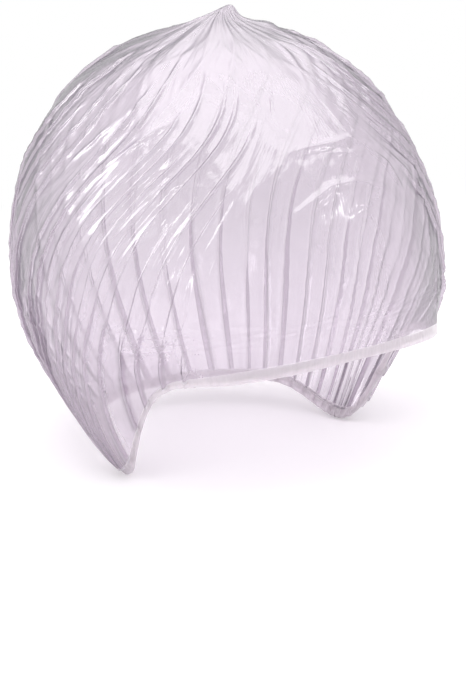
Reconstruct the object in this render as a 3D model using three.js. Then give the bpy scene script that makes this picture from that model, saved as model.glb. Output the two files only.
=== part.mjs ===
// Disposable hair cap of clear thin film, in the shape it takes on a head.
// A round of film is drawn in by an elastic that runs inside its turned and welded hem.
// Millimetres, +Z up, brow towards -Y. The origin is the middle of the head opening, level with the brow hem.
import * as THREE from 'three';

// Cap as worn
const capWidth = 163;
const frontReach = 89;
const backReach = 116;
const widestRise = 15;
const crownRise = 103;
const crownTipRise = 5;
const crownTipSpread = 14;
const crownRoundShare = 2.04;
const planRoundShare = 2.06;
const drawInShare = 2.1;

// Hem line, as a drop below the origin at places round the head
const browDrop = 1;
const foreheadDrop = 4;
const templeDrop = 17;
const earDrop = 57;
const behindEarDrop = 49;
const napeDrop = 51;
const hemPlaces = [
  { turn: 0, drop: browDrop, drawnShare: 0.985 },
  { turn: 35, drop: foreheadDrop, drawnShare: 1.0 },
  { turn: 62, drop: templeDrop, drawnShare: 0.85 },
  { turn: 92, drop: earDrop, drawnShare: 0.72 },
  { turn: 135, drop: behindEarDrop, drawnShare: 0.69 },
  { turn: 180, drop: napeDrop, drawnShare: 0.73 },
];

// Film
const filmWall = 0.4;
const seatGap = 0.3;
const filmRingShares = [0.06, 0.15, 0.24, 0.33, 0.42, 0.51, 0.67, 0.84, 1];

// Pleats. They start behind the smooth forehead and run down to the hem, dragged forward over the crown
const pleatCount = 19;
const pleatDepth = 2.2;
const pleatStartTurn = 50;
const pleatSwingTurn = 130;
const pleatMostSwingTurn = 50;
const pleatTopShare = 0.12;
const pleatHemShare = 0.3;
const pleatFoldShare = 0.3;
const pleatDepthShares = [1, 0.6, 0.85, 0.7];
const easedPleats = 3;
const smoothColumns = 12;

// Turned hem with its elastic and weld line
const elasticWidth = 2;
const elasticThickness = 0.4;
const elasticLap = 12;
const weldWidth = 0.8;
const weldThickness = 0.9;
const gatherSwell = 0.9;

// Sizes that follow
const slotDepth = 2 * elasticThickness + 3 * seatGap;
const legLength = weldWidth + elasticWidth + 3 * seatGap;
const foldRadius = slotDepth / 2 + filmWall;

const slopeStep = 1e-4;
const fullTurn = 2 * Math.PI;
const halfTurn = Math.PI;
const rightTurn = Math.PI / 2;

// Materials
const clearFilm = new THREE.MeshStandardMaterial({
  name: 'clear_film', color: 0xd9d2e4, roughness: 0.18, metalness: 0,
  transparent: true, opacity: 0.45, side: THREE.DoubleSide,
});
const doubledFilm = new THREE.MeshStandardMaterial({
  name: 'doubled_film', color: 0xe6dde8, roughness: 0.28, metalness: 0,
  transparent: true, opacity: 0.7, side: THREE.DoubleSide,
});
const weldedFilm = new THREE.MeshStandardMaterial({
  name: 'welded_film', color: 0xf1eaf0, roughness: 0.45, metalness: 0,
});
const whiteElastic = new THREE.MeshStandardMaterial({
  name: 'white_elastic', color: 0xf3eeee, roughness: 0.7, metalness: 0,
});

// Hem drop and drawn-in share at any turn from the brow; both halves of the cap are alike
const hemLine = new THREE.CubicInterpolant(
  hemPlaces.map((place) => THREE.MathUtils.degToRad(place.turn)),
  hemPlaces.flatMap((place) => [place.drop, place.drawnShare]),
  2,
);
hemLine.settings = { endingStart: THREE.ZeroSlopeEnding, endingEnd: THREE.ZeroSlopeEnding };

function hemAt(turn) {
  const wrapped = THREE.MathUtils.euclideanModulo(turn, fullTurn);
  const [drop, drawnShare] = hemLine.evaluate(Math.min(wrapped, fullTurn - wrapped));
  return { drop, drawnShare };
}

// Plan radius of the widest level
function planReach(turn) {
  const lengthwise = Math.cos(turn) > 0 ? frontReach : backReach;
  const across = Math.abs(Math.sin(turn) / (capWidth / 2)) ** planRoundShare;
  const along = Math.abs(Math.cos(turn) / lengthwise) ** planRoundShare;
  return (across + along) ** (-1 / planRoundShare);
}

// A point of the unpleated cap. The fall is 0 at the crown, 1 at the widest level and 2 at the hem
function domePoint(turn, fall) {
  let radius = planReach(turn);
  let height = widestRise;
  if (fall <= 1) {
    const lean = fall * rightTurn;
    const rounding = (Math.sin(lean) ** crownRoundShare + Math.cos(lean) ** crownRoundShare) ** (-1 / crownRoundShare);
    radius *= Math.sin(lean) * rounding;
    height += crownRise * Math.cos(lean) * rounding;
    height += crownTipRise * Math.exp(-((radius / crownTipSpread) ** 2));
  } else {
    const { drop, drawnShare } = hemAt(turn);
    const below = fall - 1;
    radius *= 1 - (1 - drawnShare) * below ** drawInShare;
    height -= (widestRise + drop) * below;
  }
  return new THREE.Vector3(radius * Math.sin(turn), -radius * Math.cos(turn), height);
}

// Outward normal and downward direction of the unpleated cap, from points a hair's breadth apart
function domeFrame(turn, fall) {
  const along = domePoint(turn + slopeStep, fall).sub(domePoint(turn - slopeStep, fall));
  const down = domePoint(turn, fall + slopeStep).sub(domePoint(turn, fall - slopeStep)).normalize();
  return { down, out: new THREE.Vector3().crossVectors(down, along).normalize() };
}

// The columns of the film, each with its turn at the hem and how deep it is folded in
function filmColumns() {
  const start = THREE.MathUtils.degToRad(pleatStartTurn);
  const pleatTurn = (fullTurn - 2 * start) / pleatCount;
  const columns = [];
  for (let i = 0; i < smoothColumns; i++) {
    columns.push({ turn: THREE.MathUtils.lerp(-start, start, i / smoothColumns), depth: 0 });
  }
  for (let i = 0; i < pleatCount; i++) {
    const eased = Math.min(1, (i + 1) / easedPleats, (pleatCount - i) / easedPleats);
    const depth = pleatDepth * eased * pleatDepthShares[i % pleatDepthShares.length];
    const turn = start + i * pleatTurn;
    columns.push({ turn, depth: 0 });
    columns.push({ turn: turn + pleatTurn * pleatFoldShare, depth });
    columns.push({ turn: turn + pleatTurn * 2 * pleatFoldShare, depth: depth / 2 });
  }
  return columns;
}

// A pleat fades in below the crown, is deepest under the widest level and is drawn flat at the hem
function pleatGrowth(fallShare) {
  const opened = THREE.MathUtils.smoothstep(fallShare, pleatTopShare, 1 - pleatHemShare);
  const gathered = 1 - THREE.MathUtils.smoothstep(fallShare, 1 - pleatHemShare, 1);
  return opened * gathered;
}

// A pleat rises nearly straight from the hem, then swings forward round the side of the crown
function filmPoint(column, fallShare) {
  const swing = Math.min(pleatSwingTurn * (1 - fallShare) ** 3, pleatMostSwingTurn);
  const turn = column.turn - THREE.MathUtils.degToRad(swing) * Math.sin(column.turn);
  const point = domePoint(turn, 2 * fallShare);
  const { out } = domeFrame(turn, 2 * fallShare);
  point.addScaledVector(out, -column.depth * pleatGrowth(fallShare));
  return { outer: point, inner: point.clone().addScaledVector(out, -filmWall) };
}

// A closed body from triangles given as triples of points
function bodyFromTriangles(triangles) {
  const geometry = new THREE.BufferGeometry();
  geometry.setFromPoints(triangles.flat());
  geometry.computeVertexNormals();
  return geometry;
}

function quad(a, b, c, d) {
  return [[a, b, c], [a, c, d]];
}

// Cap film: an outer and an inner skin under the crown, joined at the lower edge
function capFilmGeometry(columns) {
  const rings = filmRingShares.map((share) => columns.map((column) => filmPoint(column, share)));
  const crown = domePoint(0, 0);
  const crownInside = crown.clone();
  crownInside.z -= filmWall;
  const triangles = [];
  columns.forEach((_, j) => {
    const k = (j + 1) % columns.length;
    triangles.push([crown, rings[0][j].outer, rings[0][k].outer]);
    triangles.push([crownInside, rings[0][k].inner, rings[0][j].inner]);
    for (let i = 1; i < rings.length; i++) {
      const [above, here] = [rings[i - 1], rings[i]];
      triangles.push(...quad(above[j].outer, here[j].outer, here[k].outer, above[k].outer));
      triangles.push(...quad(above[j].inner, above[k].inner, here[k].inner, here[j].inner));
    }
    const edge = rings[rings.length - 1];
    triangles.push(...quad(edge[j].outer, edge[j].inner, edge[k].inner, edge[k].outer));
  });
  return bodyFromTriangles(triangles);
}

// A section point of the hem: down from the film's edge and inwards from its outer face
function hemPoint(turn, down, inward) {
  const frame = domeFrame(turn, 2);
  return domePoint(turn, 2).addScaledVector(frame.down, down).addScaledVector(frame.out, -inward);
}

// A solid swept round the hem. A section's second half runs back along the first, and its faces
// are split the same way as those in front of them, so a thin wall never crosses itself
function sweptBody(sections, closed) {
  const triangles = [];
  const spans = closed ? sections.length : sections.length - 1;
  for (let j = 0; j < spans; j++) {
    const here = sections[j];
    const next = sections[(j + 1) % sections.length];
    here.forEach((point, k) => {
      const m = (k + 1) % here.length;
      const runsBack = k >= here.length / 2;
      const corners = runsBack ? [here[m], next[m], next[k], point] : [point, here[m], next[m], next[k]];
      triangles.push(...quad(...corners));
    });
  }
  if (!closed) {
    const [first, last] = [sections[0], sections[sections.length - 1]];
    triangles.push([first[0], first[2], first[1]], [first[0], first[3], first[2]]);
    triangles.push([last[0], last[1], last[2]], [last[0], last[2], last[3]]);
  }
  return bodyFromTriangles(triangles);
}

// Turned hem: a channel of doubled film, open at its top, whose lower fold swells where a pleat ends
function hemCasingSection({ turn, depth }) {
  const swell = gatherSwell * depth / pleatDepth;
  const middle = foldRadius;
  const top = seatGap;
  const bottom = seatGap + legLength;
  const slotRadius = slotDepth / 2;
  const section = [hemPoint(turn, top, 0)];
  for (const lean of [0, halfTurn / 3, 2 * halfTurn / 3, halfTurn]) {
    const reach = foldRadius + swell * Math.sin(lean);
    section.push(hemPoint(turn, bottom + reach * Math.sin(lean), middle - reach * Math.cos(lean)));
  }
  section.push(hemPoint(turn, top, 2 * foldRadius));
  section.push(hemPoint(turn, top, filmWall + slotDepth));
  for (const lean of [halfTurn, rightTurn, 0]) {
    section.push(hemPoint(turn, bottom + slotRadius * Math.sin(lean), middle - slotRadius * Math.cos(lean)));
  }
  section.push(hemPoint(turn, top, filmWall));
  return section;
}

// Four corners of a flat strip inside the channel
function stripSection(turn, down, inward, width, thickness) {
  return [
    hemPoint(turn, down, inward),
    hemPoint(turn, down + width, inward),
    hemPoint(turn, down + width, inward + thickness),
    hemPoint(turn, down, inward + thickness),
  ];
}

// Weld line that joins the turned edge to the film above the elastic
function hemWeldSection({ turn }) {
  return stripSection(turn, seatGap, foldRadius - weldThickness / 2, weldWidth, weldThickness);
}

// Elastic: one strip from the nape round to the nape, where its end laps over its start
function elasticGeometry(columns) {
  const lapTurn = elasticLap / domePoint(halfTurn, 2).y;
  const end = fullTurn + lapTurn;
  const between = columns.flatMap(({ turn }) => {
    const passed = THREE.MathUtils.euclideanModulo(turn - halfTurn, fullTurn);
    return [passed, passed + fullTurn];
  });
  const inside = between.filter((passed) => passed > slopeStep && passed < end - slopeStep);
  const stops = [0, ...inside.sort((a, b) => a - b), end];
  const down = 2 * seatGap + weldWidth;
  const innermost = filmWall + slotDepth - seatGap - elasticThickness;
  const sections = stops.map((passed) => {
    const outward = (elasticThickness + seatGap) * Math.min(passed / fullTurn, 1);
    return stripSection(halfTurn + passed, down, innermost - outward, elasticWidth, elasticThickness);
  });
  return sweptBody(sections, false);
}

function piece(name, geometry, material) {
  const mesh = new THREE.Mesh(geometry, material);
  mesh.name = name;
  return mesh;
}

const cap = new THREE.Group();
const columns = filmColumns();
cap.name = 'hair_cap';
cap.add(piece('cap_film', capFilmGeometry(columns), clearFilm));
cap.add(piece('hem_casing', sweptBody(columns.map(hemCasingSection), true), doubledFilm));
cap.add(piece('hem_weld', sweptBody(columns.map(hemWeldSection), true), weldedFilm));
cap.add(piece('elastic_band', elasticGeometry(columns), whiteElastic));

export default cap;
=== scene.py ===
# Disposable hair cap in its worn shape: a round of clear film, pleated and draped,
# with its rim turned over a thin elastic and heat-welded.
import math
import bpy
import bmesh
import numpy as np
from mathutils import Matrix, Vector


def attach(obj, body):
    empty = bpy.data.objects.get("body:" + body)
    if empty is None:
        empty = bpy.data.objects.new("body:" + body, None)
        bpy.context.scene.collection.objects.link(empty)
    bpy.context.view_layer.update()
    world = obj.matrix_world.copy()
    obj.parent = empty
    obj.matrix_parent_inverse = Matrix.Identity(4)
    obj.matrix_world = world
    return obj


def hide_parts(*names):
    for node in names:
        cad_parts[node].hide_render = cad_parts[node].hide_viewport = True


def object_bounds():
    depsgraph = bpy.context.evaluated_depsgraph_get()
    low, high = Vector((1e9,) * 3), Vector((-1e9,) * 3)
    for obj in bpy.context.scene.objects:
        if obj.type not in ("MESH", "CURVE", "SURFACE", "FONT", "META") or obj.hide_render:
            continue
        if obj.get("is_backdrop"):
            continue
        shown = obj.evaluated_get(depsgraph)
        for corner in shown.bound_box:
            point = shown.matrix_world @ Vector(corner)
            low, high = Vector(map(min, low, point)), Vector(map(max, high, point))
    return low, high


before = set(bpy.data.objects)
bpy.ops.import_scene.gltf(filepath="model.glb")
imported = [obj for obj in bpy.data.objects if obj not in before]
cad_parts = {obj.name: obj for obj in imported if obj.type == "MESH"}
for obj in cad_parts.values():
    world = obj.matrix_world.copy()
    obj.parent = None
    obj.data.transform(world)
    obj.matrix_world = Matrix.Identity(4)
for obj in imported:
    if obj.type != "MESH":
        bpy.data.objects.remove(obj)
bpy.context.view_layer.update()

MM = 0.001
FULL_TURN = 2 * math.pi
rng = np.random.default_rng(27)

# The draped shape, in mm and radians from the front towards +X, as the solids have it
CAP_WIDTH = 163.0
FRONT_REACH = 89.0
BACK_REACH = 116.0
WIDEST_RISE = 15.0
CROWN_RISE = 103.0
CROWN_TIP_RISE = 5.0
CROWN_TIP_SPREAD = 14.0
CROWN_ROUND = 2.04
PLAN_ROUND = 2.06
DRAW_IN = 2.1
HEM_TURNS = np.radians([0, 35, 62, 92, 135, 180])
HEM_DROPS = np.array([1, 4, 17, 57, 49, 51.0])
HEM_DRAWN = np.array([0.985, 1.0, 0.85, 0.72, 0.69, 0.73])
# The fall of a point is 0 at the crown, 1 at the widest level and 2 at the hem
HEM_FALL = 2.0
OFF_CROWN = 2e-4

# Pleats: tucks of film that lie over, each with its own width, start and lean; rises and reaches in mm
PLEATS = 44
SMOOTH_FRONT = math.radians(43)
SMOOTH_COLUMNS = 92
PLEAT_SPACING = (FULL_TURN - 2 * SMOOTH_FRONT) / PLEATS
TUCK_RISE = 1.9
TUCK_OPENS_OVER = 0.65
NEVER_TUCKED = 9.0
SWAY = 0.006
RIDGE_RISE = 1.5
RIDGE_HALF_WIDTH = 0.9
LEAST_REACH = 15.0
# Two pleats of three are strong. Widths are shares of the spacing, and starts are falls
STRONG_WIDTHS, WEAK_WIDTHS = (0.20, 0.30), (0.12, 0.19)
STRONG_STARTS, WEAK_STARTS = (0.30, 0.55), (0.55, 1.15)
# Shares of the spacing: the open film at each side, and where the tuck's film begins and how much it takes
OPEN_SHARE = 0.09
TUCK_FROM_SHARE = 0.17
TUCK_FILM_SHARE = 0.66
# How the pleat lines fan up from the low sides of the hem and swing forward round the crown
SWING = math.radians(130)
MOST_SWING = math.radians(50)
FAN_MIDDLE = math.radians(72)
FAN_SPREAD = math.radians(26)
FAN_PULL = math.radians(18)
UPPER_LENGTH = 155.0

# Unevenness of the limp film, in mm
OPEN_FILM_RISE = 0.8
PINCH_RISE = 0.55
SLACK_RISE = 0.7
CRUMPLE_RISE = 1.1
CRUMPLE_LINES = 9
CRUMPLE_SEED = 41
# Peaks of the pinched crown: x, y, height and spread in mm, and how far they lean over for each mm of height
CROWN_PEAKS = [(2.0, -1.0, 3.4, 4.5), (17.0, -9.0, 1.8, 5.0), (-16.0, 3.0, 1.2, 7.0), (6.0, 14.0, 1.4, 6.0)]
PEAK_LEAN_X, PEAK_LEAN_Y = 0.8, -0.35

# Turned hem, in mm
HEM_LEG = 4.0
HEM_FOLD_RADIUS = 1.15
HEM_FOLD_STEPS = 8
HEM_FOLD_SWELL = 0.4
HEM_SWELL = 0.2
HEM_SETTLES = 0.55
HEM_INNER_SETTLES = 0.25
FILM_TO_INNER_LEG = 0.34
OUTER_LEG_ROWS = (0.25, 0.8, 1.3, 2.0, 2.8, 3.5)
INNER_LEG_ROWS = (3.3, 2.5, 1.9, 1.45, 1.2, 1.0, 0.7, 0.35)

# Weld and elastic, in mm
FILM_EDGE_TO_WELD = 0.5
WELD_WIDTH = 0.9
WELD_THICKNESS = 0.16
WELD_INSET = 0.17
CRIMP_RISE = 0.05
ELASTIC_WIDTH = 2.0
ELASTIC_THICKNESS = 0.4
ELASTIC_LAP = 12.0
ELASTIC_STEPS = 700
ELASTIC_DROP = 1.5
ELASTIC_INSET = 1.35
ELASTIC_LAP_RISE = 0.7
ELASTIC_WANDER = 0.08
ELASTIC_CORDS = 5
CORD_RISE = 0.05

# About how far the film's UV map reaches, in mm: round the hem, and up the side from the hem to the crown
HEM_ROUND = 510.0
FILM_UP = 225.0


# Shape of the drape

def hem_values(turn):
    """Hem drop and drawn-in share at turns from the front; both halves are alike."""
    wrapped = np.mod(turn, FULL_TURN)
    turn = np.minimum(wrapped, FULL_TURN - wrapped)
    i = np.clip(np.searchsorted(HEM_TURNS, turn, side="right"), 1, len(HEM_TURNS) - 1)
    t0, t1 = HEM_TURNS[i - 1], HEM_TURNS[i]
    before = np.where(i >= 2, HEM_TURNS[np.maximum(i - 2, 0)], 2 * t0 - t1)
    after = np.where(i + 1 < len(HEM_TURNS), HEM_TURNS[np.minimum(i + 1, len(HEM_TURNS) - 1)], 2 * t1 - t0)
    weight_before = (t1 - t0) / 2 / (t0 - before)
    weight_after = (t1 - t0) / 2 / (after - t1)
    p = (turn - t0) / (t1 - t0)
    shares = (
        -weight_before * p**3 + 2 * weight_before * p**2 - weight_before * p,
        (1 + weight_before) * p**3 + (-1.5 - 2 * weight_before) * p**2 + (weight_before - 0.5) * p + 1,
        (-1 - weight_after) * p**3 + (1.5 + weight_after) * p**2 + 0.5 * p,
        weight_after * p**3 - weight_after * p**2,
    )
    places = (np.where(i >= 2, i - 2, i), i - 1, i, np.where(i + 1 < len(HEM_TURNS), i + 1, i))
    return [sum(s * values[k] for s, k in zip(shares, places)) for values in (HEM_DROPS, HEM_DRAWN)]


def drape(turn, fall):
    """A point of the unpleated drape, in mm."""
    lengthwise = np.where(np.cos(turn) > 0, FRONT_REACH, BACK_REACH)
    sideways_share = np.abs(np.sin(turn) / (CAP_WIDTH / 2)) ** PLAN_ROUND
    lengthwise_share = np.abs(np.cos(turn) / lengthwise) ** PLAN_ROUND
    reach = (sideways_share + lengthwise_share) ** (-1 / PLAN_ROUND)
    lean = np.clip(fall, 0, 1) * math.pi / 2
    rounding = (np.sin(lean) ** CROWN_ROUND + np.cos(lean) ** CROWN_ROUND) ** (-1 / CROWN_ROUND)
    upper_reach = reach * np.sin(lean) * rounding
    tip = CROWN_TIP_RISE * np.exp(-((upper_reach / CROWN_TIP_SPREAD) ** 2))
    upper_height = WIDEST_RISE + CROWN_RISE * np.cos(lean) * rounding + tip
    drop, drawn = hem_values(turn)
    below = np.maximum(fall - 1, 0)
    lower_reach = reach * (1 - (1 - drawn) * below**DRAW_IN)
    lower_height = WIDEST_RISE - (WIDEST_RISE + drop) * below
    radius = np.where(fall <= 1, upper_reach, lower_reach)
    height = np.where(fall <= 1, upper_height, lower_height)
    return np.stack([radius * np.sin(turn), -radius * np.cos(turn), height], axis=-1)


def eased(value, low, high):
    """0 below low, 1 above high, and a smooth step between them."""
    x = np.clip((value - low) / (high - low), 0, 1)
    return x * x * (3 - 2 * x)


def swung(place, fall):
    """The turn of a pleat line at a fall: fanned out low down, dragged forward round the crown above."""
    drop, _ = hem_values(place)
    above = np.where(fall <= 1, 1 - fall, (1 - fall) * (WIDEST_RISE + drop) / UPPER_LENGTH)
    free = SWING * np.maximum(above + 0.2, 1e-3) ** 2.5
    drag = (free**-4 + MOST_SWING**-4) ** -0.25
    level = np.arccos(np.cos(place))
    pull = FAN_PULL * np.exp(-(((level - FAN_MIDDLE) / FAN_SPREAD) ** 2)) * eased(-above, -0.05, 0.4)
    return place - drag * np.sin(place) + pull * np.sign(np.sin(place))


def unit(v):
    return v / np.maximum(np.linalg.norm(v, axis=-1, keepdims=True), 1e-12)


def drape_frame(place, fall):
    """Point, outward normal, downward direction and mm per radian of the drape along a pleat line."""
    step = 1e-4
    fall = np.clip(fall, OFF_CROWN, HEM_FALL)
    point = drape(swung(place, fall), fall)
    along = (drape(swung(place + step, fall), fall) - drape(swung(place - step, fall), fall)) / (2 * step)
    lower, upper = np.minimum(fall + step, HEM_FALL), fall - step
    down = unit(drape(swung(place, lower), lower) - drape(swung(place, upper), upper))
    out = unit(np.cross(down, along))
    return point, out, down, np.linalg.norm(along, axis=-1)


# Unevenness of the film

def ripple(place, fall, waves, seed, fine):
    """Soft seeded unevenness, mostly within -1 to 1, closed round the cap; fine is its pace down the film."""
    dice = np.random.default_rng(seed)
    total = np.zeros(np.broadcast(place, fall).shape)
    for _ in range(7):
        across = dice.integers(waves // 2, waves + 1)
        total = total + dice.uniform(0.5, 1) * np.sin(
            across * place + dice.uniform(-3, 3) * fine * fall + dice.uniform(0, FULL_TURN))
    return total / 4


def seeded_wave(dice, turn, fall, round_cap, down_film):
    """A wave that closes round the cap; its counts round the cap and down the film are drawn from ranges."""
    return np.sin(
        dice.integers(*round_cap) * turn + dice.uniform(*down_film) * fall + dice.uniform(0, FULL_TURN))


def crumple(turn, fall):
    """A net of sharp low crests, 0 to 1, such as limp film keeps from having been folded up in its packet."""
    dice = np.random.default_rng(CRUMPLE_SEED)
    crest = np.zeros(turn.shape)
    for _ in range(CRUMPLE_LINES):
        round_cap = dice.integers(7, 20) * dice.choice([-1, 1])
        down_film = dice.uniform(14, 34)
        wander = 1.3 * seeded_wave(dice, turn, fall, (3, 7), (4, 9))
        line = np.sin((round_cap * turn + down_film * fall + wander) / 2 + dice.uniform(0, FULL_TURN))
        strength = 0.6 + 0.4 * seeded_wave(dice, turn, fall, (2, 6), (4, 12))
        crest = np.maximum(crest, strength * (1 - np.abs(line)) ** 2)
    return crest


def crown_pinch(turn, fall):
    """Small gathers that run in to the crown."""
    gathers = np.sin(13 * turn + 1.2 * np.sin(2 * turn)) + 0.7 * np.sin(29 * turn + 2 * np.sin(3 * turn))
    return PINCH_RISE * gathers * np.exp(-fall / 0.11) * (1 - np.exp(-((fall / 0.05) ** 2)))


def crown_peak(point):
    """The middle of the disc stands up in an uneven pinch, a little off centre."""
    rise = sum(
        height * np.exp(-((point[..., 0] - x) ** 2 + (point[..., 1] - y) ** 2) / spread**2)
        for x, y, height, spread in CROWN_PEAKS)
    return np.stack([PEAK_LEAN_X * rise, PEAK_LEAN_Y * rise, rise], axis=-1)


# Single creases in the smooth film: a line of turns in degrees from the front towards +X and falls,
# then the crease's height and half width in mm
CREASES = [
    ([(-14, 0.584), (-4, 0.576), (4, 0.579), (11, 0.578), (19, 0.605)], 1.7, 1.2),
    ([(1, 0.600), (8, 0.617), (15, 0.620)], 1.5, 1.0),
    ([(-16, 0.750), (-8, 0.712), (-1, 0.686)], 1.5, 1.1),
    ([(-14, 0.762), (-7, 0.733), (0, 0.714)], 1.2, 1.0),
    ([(-4, 0.690), (3, 0.688), (11, 0.700), (19, 0.735)], 1.3, 1.5),
    ([(18, 0.705), (13, 0.740), (8, 0.755), (1, 0.780)], 1.1, 1.4),
    ([(17, 0.620), (22, 0.670), (23, 0.700), (25, 0.745)], 1.3, 1.1),
    ([(44, 0.640), (36, 0.750), (34, 0.830), (32, 0.950)], 1.4, 1.3),
    ([(-20, 0.76), (-26, 0.80), (-33, 0.84)], 0.7, 1.2),
    ([(-50, 1.80), (-49, 1.32), (-45, 0.98), (-43, 0.86)], 1.1, 1.4),
    ([(-38, 1.55), (-36, 1.15), (-31, 0.90)], 0.7, 1.3),
    ([(-27, 1.80), (-24, 1.45), (-20, 1.20)], 0.5, 1.2),
    ([(-47, 0.46), (-57, 0.50), (-68, 0.57), (-84, 0.67)], 0.9, 1.2),
    ([(-60, 0.36), (-70, 0.42), (-88, 0.56), (-99, 0.64)], 0.8, 1.2),
    ([(18, 1.75), (21, 1.3), (26, 0.95)], 0.6, 1.2),
    ([(34, 1.8), (35, 1.3), (41, 0.9)], 0.9, 1.4),
    ([(26, 0.62), (35, 0.70), (41, 0.80)], 0.8, 1.2),
    ([(49, 0.50), (60, 0.55), (74, 0.64)], 0.8, 1.2),
    ([(4, 1.9), (5, 1.6), (3, 1.35)], 0.4, 1.1),
    ([(-8, 1.9), (-10, 1.55), (-9, 1.3)], 0.4, 1.1),
]


def crease_lift(turn, fall):
    """Height of the single creases at points of the film, in mm."""
    turn = np.mod(turn + math.pi, FULL_TURN) - math.pi
    spot = drape(turn, np.clip(fall, OFF_CROWN, HEM_FALL))
    lift = np.zeros(spot.shape[:-1])
    for places, height, half_width in CREASES:
        line = np.array(places)
        ends = drape(np.radians(line[:, 0]), line[:, 1])
        near = np.full(lift.shape, 1e9)
        fade = np.zeros(lift.shape)
        for k in range(len(ends) - 1):
            step = ends[k + 1] - ends[k]
            share = np.clip(((spot - ends[k]) @ step) / (step @ step), 0, 1)
            away = np.linalg.norm(spot - ends[k] - share[..., None] * step, axis=-1)
            along = (k + share) / (len(ends) - 1)
            fade = np.where(away < near, np.sin(math.pi * np.clip(along, 0.02, 0.98)) ** 0.6, fade)
            near = np.minimum(near, away)
        lift += height * fade / (1 + (near / half_width) ** 2) ** 2
    return lift


# Columns and rows of the film: each pleat is a tuck of three layers, with open film between

# A tuck seen from its edge, left to right: across it in tuck widths, then in mm, then its rise
TUCK = np.array([
    (-0.50, -1.10, 0.00), (-0.50, -0.50, 0.26), (-0.50, 0.05, 0.66), (-0.25, 0.10, 0.93), (0.15, 0.08, 1.00),
    (0.46, 0.00, 0.86), (0.50, 0.00, 0.72), (0.46, -0.02, 0.60), (0.15, 0.00, 0.53), (-0.20, 0.05, 0.45),
    (-0.48, 0.18, 0.34), (-0.50, 0.12, 0.22), (-0.46, 0.22, 0.08), (-0.10, 0.10, 0.01), (0.50, 0.75, 0.00),
])


def make_columns():
    """For each column its flat place, its pleat's middle, how the tuck lays it (across, rise, tucked),
    the fall where the pleat starts, and a further mm across."""
    columns = []
    for place in np.linspace(-SMOOTH_FRONT, SMOOTH_FRONT, SMOOTH_COLUMNS + 1)[:-1]:
        columns.append((place, place, 0.0, 0.0, 0.0, NEVER_TUCKED, 0.0))
    for i in range(PLEATS):
        jitter = rng.uniform(-0.12, 0.12) * PLEAT_SPACING
        middle = SMOOTH_FRONT + (i + 0.5) * PLEAT_SPACING + jitter
        strong = i % 3 != 1
        width = rng.uniform(*STRONG_WIDTHS) if strong else rng.uniform(*WEAK_WIDTHS)
        start = rng.uniform(*STRONG_STARTS) if strong else rng.uniform(*WEAK_STARTS)
        # Beside the smooth front the pleats are narrower and start lower
        from_front = min(i + 0.6, PLEATS - i - 0.4)
        width *= min(1, 0.35 + from_front / 6)
        start += 0.5 * max(0, 1 - from_front / 5)
        leaning = 1 if rng.uniform() < 0.5 else -1
        tuck = TUCK if leaning > 0 else TUCK[::-1] * (-1, -1, 1)
        low_edge = SMOOTH_FRONT + i * PLEAT_SPACING
        columns.append((low_edge, middle, 0.0, 0.0, 0.0, start, 0.0))
        columns.append((low_edge + OPEN_SHARE * PLEAT_SPACING, middle, 0.0, 0.0, 0.0, start, 0.0))
        for k, (across, extra, rise) in enumerate(tuck):
            flat = low_edge + PLEAT_SPACING * (TUCK_FROM_SHARE + TUCK_FILM_SHARE * k / (len(tuck) - 1))
            columns.append((flat, middle, across * width, rise, 1.0, start, extra))
        columns.append((low_edge + (1 - OPEN_SHARE) * PLEAT_SPACING, middle, 0.0, 0.0, 0.0, start, 0.0))
    return np.array(columns)


COLUMNS = make_columns()


def film_rows():
    """Falls of the film's rows, from the crown to the hem, closer where it is pinched and gathered."""
    crown = np.linspace(0, 0.16, 14)
    upper = np.linspace(0.16, 0.54, 26)[1:]
    crinkled = np.linspace(0.54, 0.78, 25)[1:]
    middle = np.linspace(0.78, 1.0, 13)[1:]
    lower = 1 + np.linspace(0, 1, 36)[1:]
    return np.concatenate([crown, upper, crinkled, middle, lower])


def film_points(fall):
    """Points of one or more rows of the film, in mm, with their outward and downward directions and lifts."""
    flat, middle, across, rise, tucked, start, extra = (COLUMNS[:, k][None, :] for k in range(7))
    fall = np.atleast_1d(fall)[:, None]
    off_front = eased(np.abs(np.sin(flat / 2)), 0.2, 0.5)

    # Where the tucks lay the film
    growth = eased(fall, start, start + TUCK_OPENS_OVER)
    growth = growth * (1 + 0.12 * ripple(middle, fall, waves=9, seed=5, fine=3))
    gathered = 0.3 + 0.7 * eased(fall, 0.8, 1.9)
    sway = SWAY * ripple(middle, fall, waves=20, seed=11, fine=2.5)
    sway = sway * eased(fall, 0.3, 0.9) * (1 - eased(fall, 1.7, 2))
    _, _, _, reach = drape_frame(middle, fall)
    folded = middle + across * PLEAT_SPACING * gathered + extra / np.maximum(reach, LEAST_REACH)
    place = flat + (folded - flat) * growth * tucked + sway
    point, out, down, _ = drape_frame(place, fall)
    turn = swung(place, fall)

    # How far it stands off the smooth drape
    open_film = OPEN_FILM_RISE * ripple(flat, fall, waves=30, seed=3, fine=4)
    open_film = open_film * eased(fall, 0.25, 0.8) * off_front
    pinch = crown_pinch(turn, fall)
    slack = SLACK_RISE * ripple(turn, fall, waves=14, seed=8, fine=6) * eased(fall, 0.05, 0.15)
    slack = slack * (1 - eased(fall, 0.35, 0.55))
    across_ridge = (flat - middle) * reach / RIDGE_HALF_WIDTH
    ridge = RIDGE_RISE * np.exp(-(across_ridge**2)) * eased(fall, start - 0.16, start + 0.05)
    ridge = ridge * (1 - growth) * tucked
    lift = rise * TUCK_RISE * growth + open_film * (1 - 0.6 * tucked) + pinch + slack + ridge
    limp = (0.3 + 0.7 * off_front) * eased(fall, 0.1, 0.3) * (1 - eased(fall, 1.3, 1.8))
    lift = lift + crease_lift(turn, fall) + CRUMPLE_RISE * crumple(turn, fall) * limp
    return point + out * lift[..., None] + crown_peak(point), out, down, lift


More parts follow.
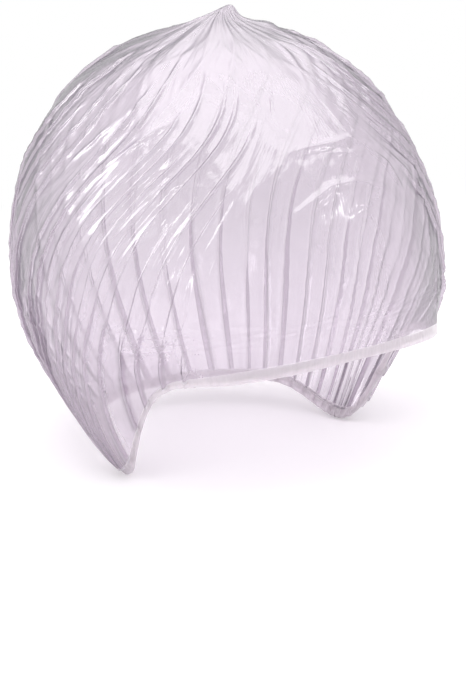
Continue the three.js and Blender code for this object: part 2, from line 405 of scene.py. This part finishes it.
def hem_lobes():
    """How far each column stands from the pinched middle of its pleat, 0 to 1."""
    flat, start = COLUMNS[:, 0], COLUMNS[:, 5]
    pleated = (start < NEVER_TUCKED).astype(float)
    share = (flat - SMOOTH_FRONT) / PLEAT_SPACING
    return pleated * np.cos(math.pi * share) ** 2


# Pieces

def deselect():
    bpy.ops.object.select_all(action="DESELECT")


def laid_grid(name, rows, closed=True):
    """A grid primitive whose rows of points are laid in place, in mm, and joined where it closes."""
    down, across = rows.shape[0] - 1, rows.shape[1] - 1
    deselect()
    bpy.ops.mesh.primitive_grid_add(x_subdivisions=across, y_subdivisions=down, size=1, calc_uvs=True)
    piece = bpy.context.object
    piece.name = piece.data.name = name
    flat = np.empty(len(piece.data.vertices) * 3)
    piece.data.vertices.foreach_get("co", flat)
    flat = flat.reshape(-1, 3)
    i = np.rint((flat[:, 1] + 0.5) * down).astype(int)
    j = np.rint((flat[:, 0] + 0.5) * across).astype(int)
    piece.data.vertices.foreach_set("co", (rows[i, j] * MM).ravel())
    piece.data.update()
    if closed:
        join_doubles(piece)
    for face in piece.data.polygons:
        face.use_smooth = True
    return piece


def join_doubles(piece):
    shell = bmesh.new()
    shell.from_mesh(piece.data)
    bmesh.ops.remove_doubles(shell, verts=shell.verts, dist=2e-6)
    shell.to_mesh(piece.data)
    shell.free()


def applied(piece, kind, **settings):
    """Give a piece a modifier and apply it."""
    modifier = piece.modifiers.new(kind.title(), kind)
    for key, value in settings.items():
        setattr(modifier, key, value)
    deselect()
    piece.select_set(True)
    bpy.context.view_layer.objects.active = piece
    bpy.ops.object.modifier_apply(modifier=modifier.name)
    return piece


def round_trip(columns):
    """Rows of points that end where they began, so that the grid can be joined."""
    return np.concatenate([columns, columns[:, :1]], axis=1)


def make_film():
    """The dome: one skin from the hem up to the crown, where its last row meets in a point."""
    points, *_ = film_points(film_rows()[::-1])
    crown = drape(np.array(0.0), np.array(0.0))
    points[-1] = crown + crown_peak(crown)
    return laid_grid("film_dome", round_trip(points))


def make_hem():
    """The rim goes on down from the dome, turns under and comes back up inside to the weld."""
    edge, out, down, lift = (x[0] for x in film_points(HEM_FALL))
    lobe = hem_lobes()
    rows = [edge]
    for d in OUTER_LEG_ROWS:
        swell = HEM_SWELL * lobe * math.sin(math.pi * d / HEM_LEG) - HEM_SETTLES * lift * eased(d, 0, 2.5)
        rows.append(edge + down * d + out * swell[:, None])
    outer_lift = (1 - HEM_SETTLES) * lift
    inner_lift = -2 * HEM_FOLD_RADIUS - HEM_INNER_SETTLES * lift
    fold = HEM_FOLD_RADIUS * (1 + HEM_FOLD_SWELL * lobe)
    for k in range(1, HEM_FOLD_STEPS):
        lean = math.pi * k / HEM_FOLD_STEPS
        outward = outer_lift * (1 + math.cos(lean)) / 2 + inner_lift * (1 - math.cos(lean)) / 2 - lift
        rows.append(edge + down * (HEM_LEG + fold * math.sin(lean))[:, None] + out * outward[:, None])
    for d in INNER_LEG_ROWS:
        close = eased(d, 0.9, 2.2)
        outward = inner_lift * close + (lift - FILM_TO_INNER_LEG) * (1 - close) - lift
        rows.append(edge + down * d + out * outward[:, None])
    return laid_grid("turned_hem", round_trip(np.array(rows)[::-1]))


def make_weld():
    """A crimped heat seal that closes the hem above the elastic."""
    edge, out, down, _ = (x[0] for x in film_points(HEM_FALL))
    crimps = CRIMP_RISE * np.sin(np.arange(len(edge)) * 2.1)
    rows = []
    for d in np.linspace(FILM_EDGE_TO_WELD, FILM_EDGE_TO_WELD + WELD_WIDTH, 7):
        rows.append(edge + down * d + out * (crimps - WELD_INSET)[:, None])
    seal = laid_grid("heat_weld", round_trip(np.array(rows)[::-1]))
    return applied(seal, "SOLIDIFY", thickness=WELD_THICKNESS * MM, offset=0)


def make_elastic():
    """A flat braided elastic, once round from the middle of the back, where its end laps over its start."""
    back = float(drape(np.array(math.pi), np.array(HEM_FALL))[1])
    end = FULL_TURN + ELASTIC_LAP / back
    passed = np.linspace(0, end, ELASTIC_STEPS)
    place = math.pi + passed
    point, out, down, _ = drape_frame(place, np.full(place.shape, HEM_FALL))
    outward = ELASTIC_LAP_RISE * np.minimum(passed / FULL_TURN, 1)
    wander = ELASTIC_WANDER * np.sin(9 * place)
    across = np.linspace(0, 1, 4 * ELASTIC_CORDS + 1)
    rows = []
    for share in across:
        cords = CORD_RISE * abs(math.cos(math.pi * ELASTIC_CORDS * share))
        inward = ELASTIC_INSET - outward - cords
        dropped = ELASTIC_DROP + ELASTIC_WIDTH * share + wander
        rows.append(point + down * dropped[:, None] - out * inward[:, None])
    band = laid_grid("elastic", np.array(rows)[::-1], closed=False)
    return applied(band, "SOLIDIFY", thickness=ELASTIC_THICKNESS * MM, offset=-1)


# Materials

def shade(hex_value):
    """An sRGB hex value as a linear colour."""
    channels = [int(hex_value[i:i + 2], 16) / 255 for i in (0, 2, 4)]
    return tuple(c / 12.92 if c <= 0.04045 else ((c + 0.055) / 1.055) ** 2.4 for c in channels) + (1.0,)


def new_material(name):
    material = bpy.data.materials.new(name)
    material.use_nodes = True
    material.node_tree.nodes.clear()
    return material


def add(material, kind, links=None, **settings):
    """Add a node. Settings name its properties or its input sockets; links are socket: output."""
    node = material.node_tree.nodes.new(kind)
    for key, value in settings.items():
        if hasattr(node, key):
            setattr(node, key, value)
        else:
            node.inputs[key.replace("_", " ")].default_value = value
    for socket, output in (links or {}).items():
        material.node_tree.links.new(output, node.inputs[socket])
    return node


def two_sided_gloss(film, bump, facing_share):
    """How much a thin film mirrors, alike on both of its sides: little face on, most edge on."""
    turned = add(film, "ShaderNodeLayerWeight", {"Normal": bump.outputs[0]}, Blend=0.5)
    rise = add(film, "ShaderNodeMath", {0: turned.outputs["Facing"]}, operation="POWER")
    rise.inputs[1].default_value = 4
    return add(film, "ShaderNodeMapRange", {"Value": rise.outputs[0]}, To_Min=facing_share, To_Max=0.45)


def clear_film():
    """Blown low-density polyethylene: clear and faintly milky, cloudier seen edge on, with a wet gloss."""
    film = new_material("blown_polyethylene_film")
    spots = add(film, "ShaderNodeTexCoord")

    # Fine gathers about 1.7 mm apart and 25 mm long, strong at the hem and faint higher up
    apart, run = 1.7, 25.0
    drawn = add(
        film, "ShaderNodeMapping", {"Vector": spots.outputs["UV"]},
        Scale=(HEM_ROUND / apart, FILM_UP / run, 1))
    streaks = add(
        film, "ShaderNodeTexNoise", {"Vector": drawn.outputs[0]}, Scale=1.0, Detail=3.0, Roughness=0.55)
    up_film = add(film, "ShaderNodeSeparateXYZ", {"Vector": spots.outputs["UV"]})
    gathered = add(
        film, "ShaderNodeMapRange", {"Value": up_film.outputs["Y"]},
        From_Min=0.0, From_Max=0.45, To_Min=1.0, To_Max=0.22)
    drawn_in = add(
        film, "ShaderNodeMath", {0: streaks.outputs["Fac"], 1: gathered.outputs[0]}, operation="MULTIPLY")
    crinkle = add(film, "ShaderNodeBump", {"Height": drawn_in.outputs[0]}, Strength=0.9, Distance=0.0007)

    # Soft slack waves, 95 to the metre, so 10.5 mm apart
    slack = add(film, "ShaderNodeTexNoise", {"Vector": spots.outputs["Object"]}, Scale=95.0, Detail=2.0)
    bump = add(
        film, "ShaderNodeBump", {"Height": slack.outputs["Fac"], "Normal": crinkle.outputs[0]},
        Strength=0.35, Distance=0.0012)

    # Nearly clear seen straight through; a milky body that thickens as it turns away, with painted shade that
    # darkens it there, so that fold flanks and outlines show as dark lines
    through = add(film, "ShaderNodeBsdfTransparent", Color=shade("F5F0F6"))
    edge_on = add(film, "ShaderNodeLayerWeight", {"Normal": crinkle.outputs[0]}, Blend=0.32)
    painted_shade_share = add(
        film, "ShaderNodeMapRange", {"Value": edge_on.outputs["Facing"]}, interpolation_type="SMOOTHSTEP",
        From_Min=0.22, From_Max=0.68)
    # Painted shade: the milky colour goes dark lavender-grey where the film turns edge on
    milk_with_painted_shade = add(
        film, "ShaderNodeMixRGB", {"Fac": painted_shade_share.outputs[0]},
        Color1=shade("CDC1CE"), Color2=shade("3C3244"))
    haze = add(
        film, "ShaderNodeBsdfPrincipled", {"Normal": bump.outputs[0], "Base Color": milk_with_painted_shade.outputs[0]},
        Roughness=0.3)
    cloud = add(film, "ShaderNodeMapRange", {"Value": edge_on.outputs["Facing"]}, To_Min=0.26, To_Max=0.95)
    body = add(film, "ShaderNodeMixShader", {0: cloud.outputs[0], 1: through.outputs[0], 2: haze.outputs[0]})

    # The wet gloss that lies over it
    shine = add(film, "ShaderNodeBsdfGlossy", {"Normal": bump.outputs[0]}, Roughness=0.14)
    mirror = two_sided_gloss(film, bump, 0.16)
    mixed = add(film, "ShaderNodeMixShader", {0: mirror.outputs[0], 1: body.outputs[0], 2: shine.outputs[0]})
    add(film, "ShaderNodeOutputMaterial", {"Surface": mixed.outputs[0]})
    return film


def doubled_film():
    """The same film folded in on itself round the elastic: two layers, so milkier."""
    film = new_material("doubled_polyethylene_hem")
    spots = add(film, "ShaderNodeTexCoord")
    # 520 gathers round a hem of about 520 mm, so 1 mm apart
    across = add(film, "ShaderNodeMapping", {"Vector": spots.outputs["UV"]}, Scale=(520, 2, 1))
    gathers = add(film, "ShaderNodeTexNoise", {"Vector": across.outputs[0]}, Scale=1.0, Detail=2.0)
    bump = add(film, "ShaderNodeBump", {"Height": gathers.outputs["Fac"]}, Strength=0.9, Distance=0.0006)
    haze = add(
        film, "ShaderNodeBsdfPrincipled", {"Normal": bump.outputs[0]},
        Roughness=0.28, Base_Color=shade("FCF7FA"))
    through = add(film, "ShaderNodeBsdfTransparent", Color=shade("F6F1F6"))
    edge_on = add(film, "ShaderNodeLayerWeight", {"Normal": bump.outputs[0]}, Blend=0.35)
    cloud = add(film, "ShaderNodeMapRange", {"Value": edge_on.outputs["Facing"]}, To_Min=0.38, To_Max=0.86)
    body = add(film, "ShaderNodeMixShader", {0: cloud.outputs[0], 1: through.outputs[0], 2: haze.outputs[0]})
    shine = add(film, "ShaderNodeBsdfGlossy", {"Normal": bump.outputs[0]}, Roughness=0.16)
    mirror = two_sided_gloss(film, bump, 0.05)
    mixed = add(film, "ShaderNodeMixShader", {0: mirror.outputs[0], 1: body.outputs[0], 2: shine.outputs[0]})
    add(film, "ShaderNodeOutputMaterial", {"Surface": mixed.outputs[0]})
    return film


def welded_film():
    """Polyethylene fused by a hot crimping wheel: milky, with a faint ribbed gloss."""
    seal = new_material("crimped_polyethylene_seal")
    spots = add(seal, "ShaderNodeTexCoord")
    # A wave texture draws 20 / (2 pi) bands for each unit, so 1,783 ribs round about 520 mm, 0.3 mm apart
    stretched = add(seal, "ShaderNodeMapping", {"Vector": spots.outputs["UV"]}, Scale=(560, 1, 1))
    ribs = add(seal, "ShaderNodeTexWave", {"Vector": stretched.outputs[0]}, Scale=1.0)
    bump = add(seal, "ShaderNodeBump", {"Height": ribs.outputs["Fac"]}, Strength=0.5, Distance=0.0002)
    fused = add(
        seal, "ShaderNodeBsdfPrincipled", {"Normal": bump.outputs[0]},
        Roughness=0.38, Alpha=0.8, Base_Color=shade("E9E5EC"))
    add(seal, "ShaderNodeOutputMaterial", {"Surface": fused.outputs[0]})
    return seal


def braided_elastic():
    """White polyester braid over rubber threads: matt, with fine crossing yarns."""
    braid = new_material("white_braided_elastic")
    spots = add(braid, "ShaderNodeTexCoord")
    # Diagonal bands come at 10 / (2 pi) for each unit, so 987 yarns along about 530 mm, 0.5 mm apart
    laid = add(braid, "ShaderNodeMapping", {"Vector": spots.outputs["UV"]}, Scale=(620, 5, 1))
    yarns = add(
        braid, "ShaderNodeTexWave", {"Vector": laid.outputs[0]},
        Scale=1.0, Distortion=1.5, bands_direction="DIAGONAL")
    bump = add(braid, "ShaderNodeBump", {"Height": yarns.outputs["Fac"]}, Strength=0.7, Distance=0.0002)
    # Painted shade: the braid is darker in the grooves between yarns, where the bump is low
    yarn_with_painted_groove_shade = add(
        braid, "ShaderNodeMixRGB", {"Fac": yarns.outputs["Fac"]},
        Color1=shade("E2DEE1"), Color2=shade("FAF8F9"))
    yarn = add(
        braid, "ShaderNodeBsdfPrincipled", {"Base Color": yarn_with_painted_groove_shade.outputs[0], "Normal": bump.outputs[0]},
        Roughness=0.75, Sheen_Weight=0.2)
    add(braid, "ShaderNodeOutputMaterial", {"Surface": yarn.outputs[0]})
    return braid


# The cap

film = make_film()
hem = make_hem()
weld = make_weld()
elastic = make_elastic()
for piece, node, slot, material in (
    (film, "cap_film", "clear_film", clear_film()),
    (hem, "hem_casing", "doubled_film", doubled_film()),
    (weld, "hem_weld", "welded_film", welded_film()),
    (elastic, "elastic_band", "white_elastic", braided_elastic()),
):
    piece.data.materials.clear()
    piece.data.materials.append(material)
    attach(piece, "root")
    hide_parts(node)


# Floor, light and camera

def seen_straight(studio):
    """1 for rays that see the white background: from the camera, through the film or mirrored in it."""
    rays = add(studio, "ShaderNodeLightPath")
    share = rays.outputs["Is Camera Ray"]
    for kind in ("Is Glossy Ray", "Is Transmission Ray"):
        either = add(studio, "ShaderNodeMath", {0: share, 1: rays.outputs[kind]}, operation="MAXIMUM")
        share = either.outputs[0]
    return share


def pale_ground():
    """Pale paper that keeps the cap's shadow and is lifted to an even white away from it."""
    paper = new_material("pale_paper")
    spots = add(paper, "ShaderNodeTexCoord")
    far = add(paper, "ShaderNodeVectorMath", {0: spots.outputs["Object"]}, operation="LENGTH")
    fade = add(
        paper, "ShaderNodeMapRange", {"Value": far.outputs["Value"]}, interpolation_type="SMOOTHSTEP",
        From_Min=0.16, From_Max=0.5)
    matt = add(paper, "ShaderNodeBsdfDiffuse", Roughness=1.0, Color=shade("F4F3F4"))
    glow = add(paper, "ShaderNodeEmission", Strength=0.14)
    near = add(paper, "ShaderNodeAddShader", {0: matt.outputs[0], 1: glow.outputs[0]})
    white = add(paper, "ShaderNodeEmission", Strength=1.0)
    ground = add(paper, "ShaderNodeMixShader", {0: fade.outputs[0], 1: near.outputs[0], 2: white.outputs[0]})
    straight = seen_straight(paper)
    seen = add(paper, "ShaderNodeMixShader", {0: straight, 1: matt.outputs[0], 2: ground.outputs[0]})
    add(paper, "ShaderNodeOutputMaterial", {"Surface": seen.outputs[0]})
    return paper


def floor():
    """A sheet of the paper just under the cap."""
    wide, gap = 8, 0.8 * MM
    deselect()
    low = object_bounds()[0][2]
    bpy.ops.mesh.primitive_plane_add(size=wide, location=(0, 0, low - gap))
    ground = bpy.context.object
    ground.name = "floor"
    ground.data.materials.append(pale_ground())
    ground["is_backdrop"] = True


def sky():
    """White paper behind the cap, and a soft room that lights it from all round."""
    world = bpy.data.worlds.new("studio")
    bpy.context.scene.world = world
    world.use_nodes = True
    world.node_tree.nodes.clear()
    paper = add(world, "ShaderNodeBackground", Strength=1.0, Color=(1, 1, 1, 1))
    room = add(world, "ShaderNodeBackground", Strength=0.66, Color=(1, 0.96, 1, 1))
    straight = seen_straight(world)
    seen = add(world, "ShaderNodeMixShader", {0: straight, 1: room.outputs[0], 2: paper.outputs[0]})
    add(world, "ShaderNodeOutputWorld", {"Surface": seen.outputs[0]})


def softbox(name, size, place, aim, power):
    """An area lamp of a size in metres, at a place, turned to its aim, with its power in watts."""
    lamp = bpy.data.lights.new(name, "AREA")
    lamp.shape = "RECTANGLE"
    lamp.size, lamp.size_y = size
    lamp.energy = power
    holder = bpy.data.objects.new(name, lamp)
    holder.location = place
    holder.rotation_euler = (Vector(aim) - Vector(place)).to_track_quat("-Z", "Y").to_euler()
    bpy.context.collection.objects.link(holder)


def camera():
    """The photograph's view: from the cap's right front, slightly above, with a small roll."""
    turn, rise, roll = math.radians(-31.94), math.radians(15.26), math.radians(-3.86)
    away, pixels_per_metre = 1.3, 2400.0
    origin_x, origin_y, wide, high = 237.9, 304.8, 466, 684
    back = Vector((math.sin(turn) * math.cos(rise), -math.cos(turn) * math.cos(rise), math.sin(rise)))
    level = Vector((math.cos(turn), math.sin(turn), 0))
    upright = back.cross(level)
    right = level * math.cos(roll) + upright * math.sin(roll)
    up = upright * math.cos(roll) - level * math.sin(roll)
    lens = bpy.data.cameras.new("camera")
    lens.sensor_fit = "VERTICAL"
    lens.sensor_height = 36
    lens.lens = pixels_per_metre * away * lens.sensor_height / high
    lens.shift_x = (wide / 2 - origin_x) / high
    lens.shift_y = (origin_y - high / 2) / high
    holder = bpy.data.objects.new("camera", lens)
    turned = Matrix((right, up, back)).transposed().to_4x4()
    holder.matrix_world = Matrix.Translation(back * away) @ turned
    bpy.context.collection.objects.link(holder)
    bpy.context.scene.camera = holder


floor()
sky()
softbox("overhead_softbox", size=(1.86, 1.95), place=(0.08, -0.08, 1.05), aim=(0.08, -0.08, 0), power=16)
softbox("side_softbox", size=(0.14, 0.8), place=(-1.1, -0.15, 0.5), aim=(0, 0, 0), power=1.7)
softbox("back_softbox", size=(0.3, 0.7), place=(-0.85, 0.8, 0.5), aim=(0, 0, 0.02), power=2.8)
softbox("window_light", size=(0.2, 0.16), place=(0.6, -1.1, 0.5), aim=(0, 0, 0), power=0.5)
camera()
scene = bpy.context.scene
scene.view_settings.view_transform = "Standard"
# Many layers of film lie one behind another
scene.cycles.transparent_max_bounces = 48
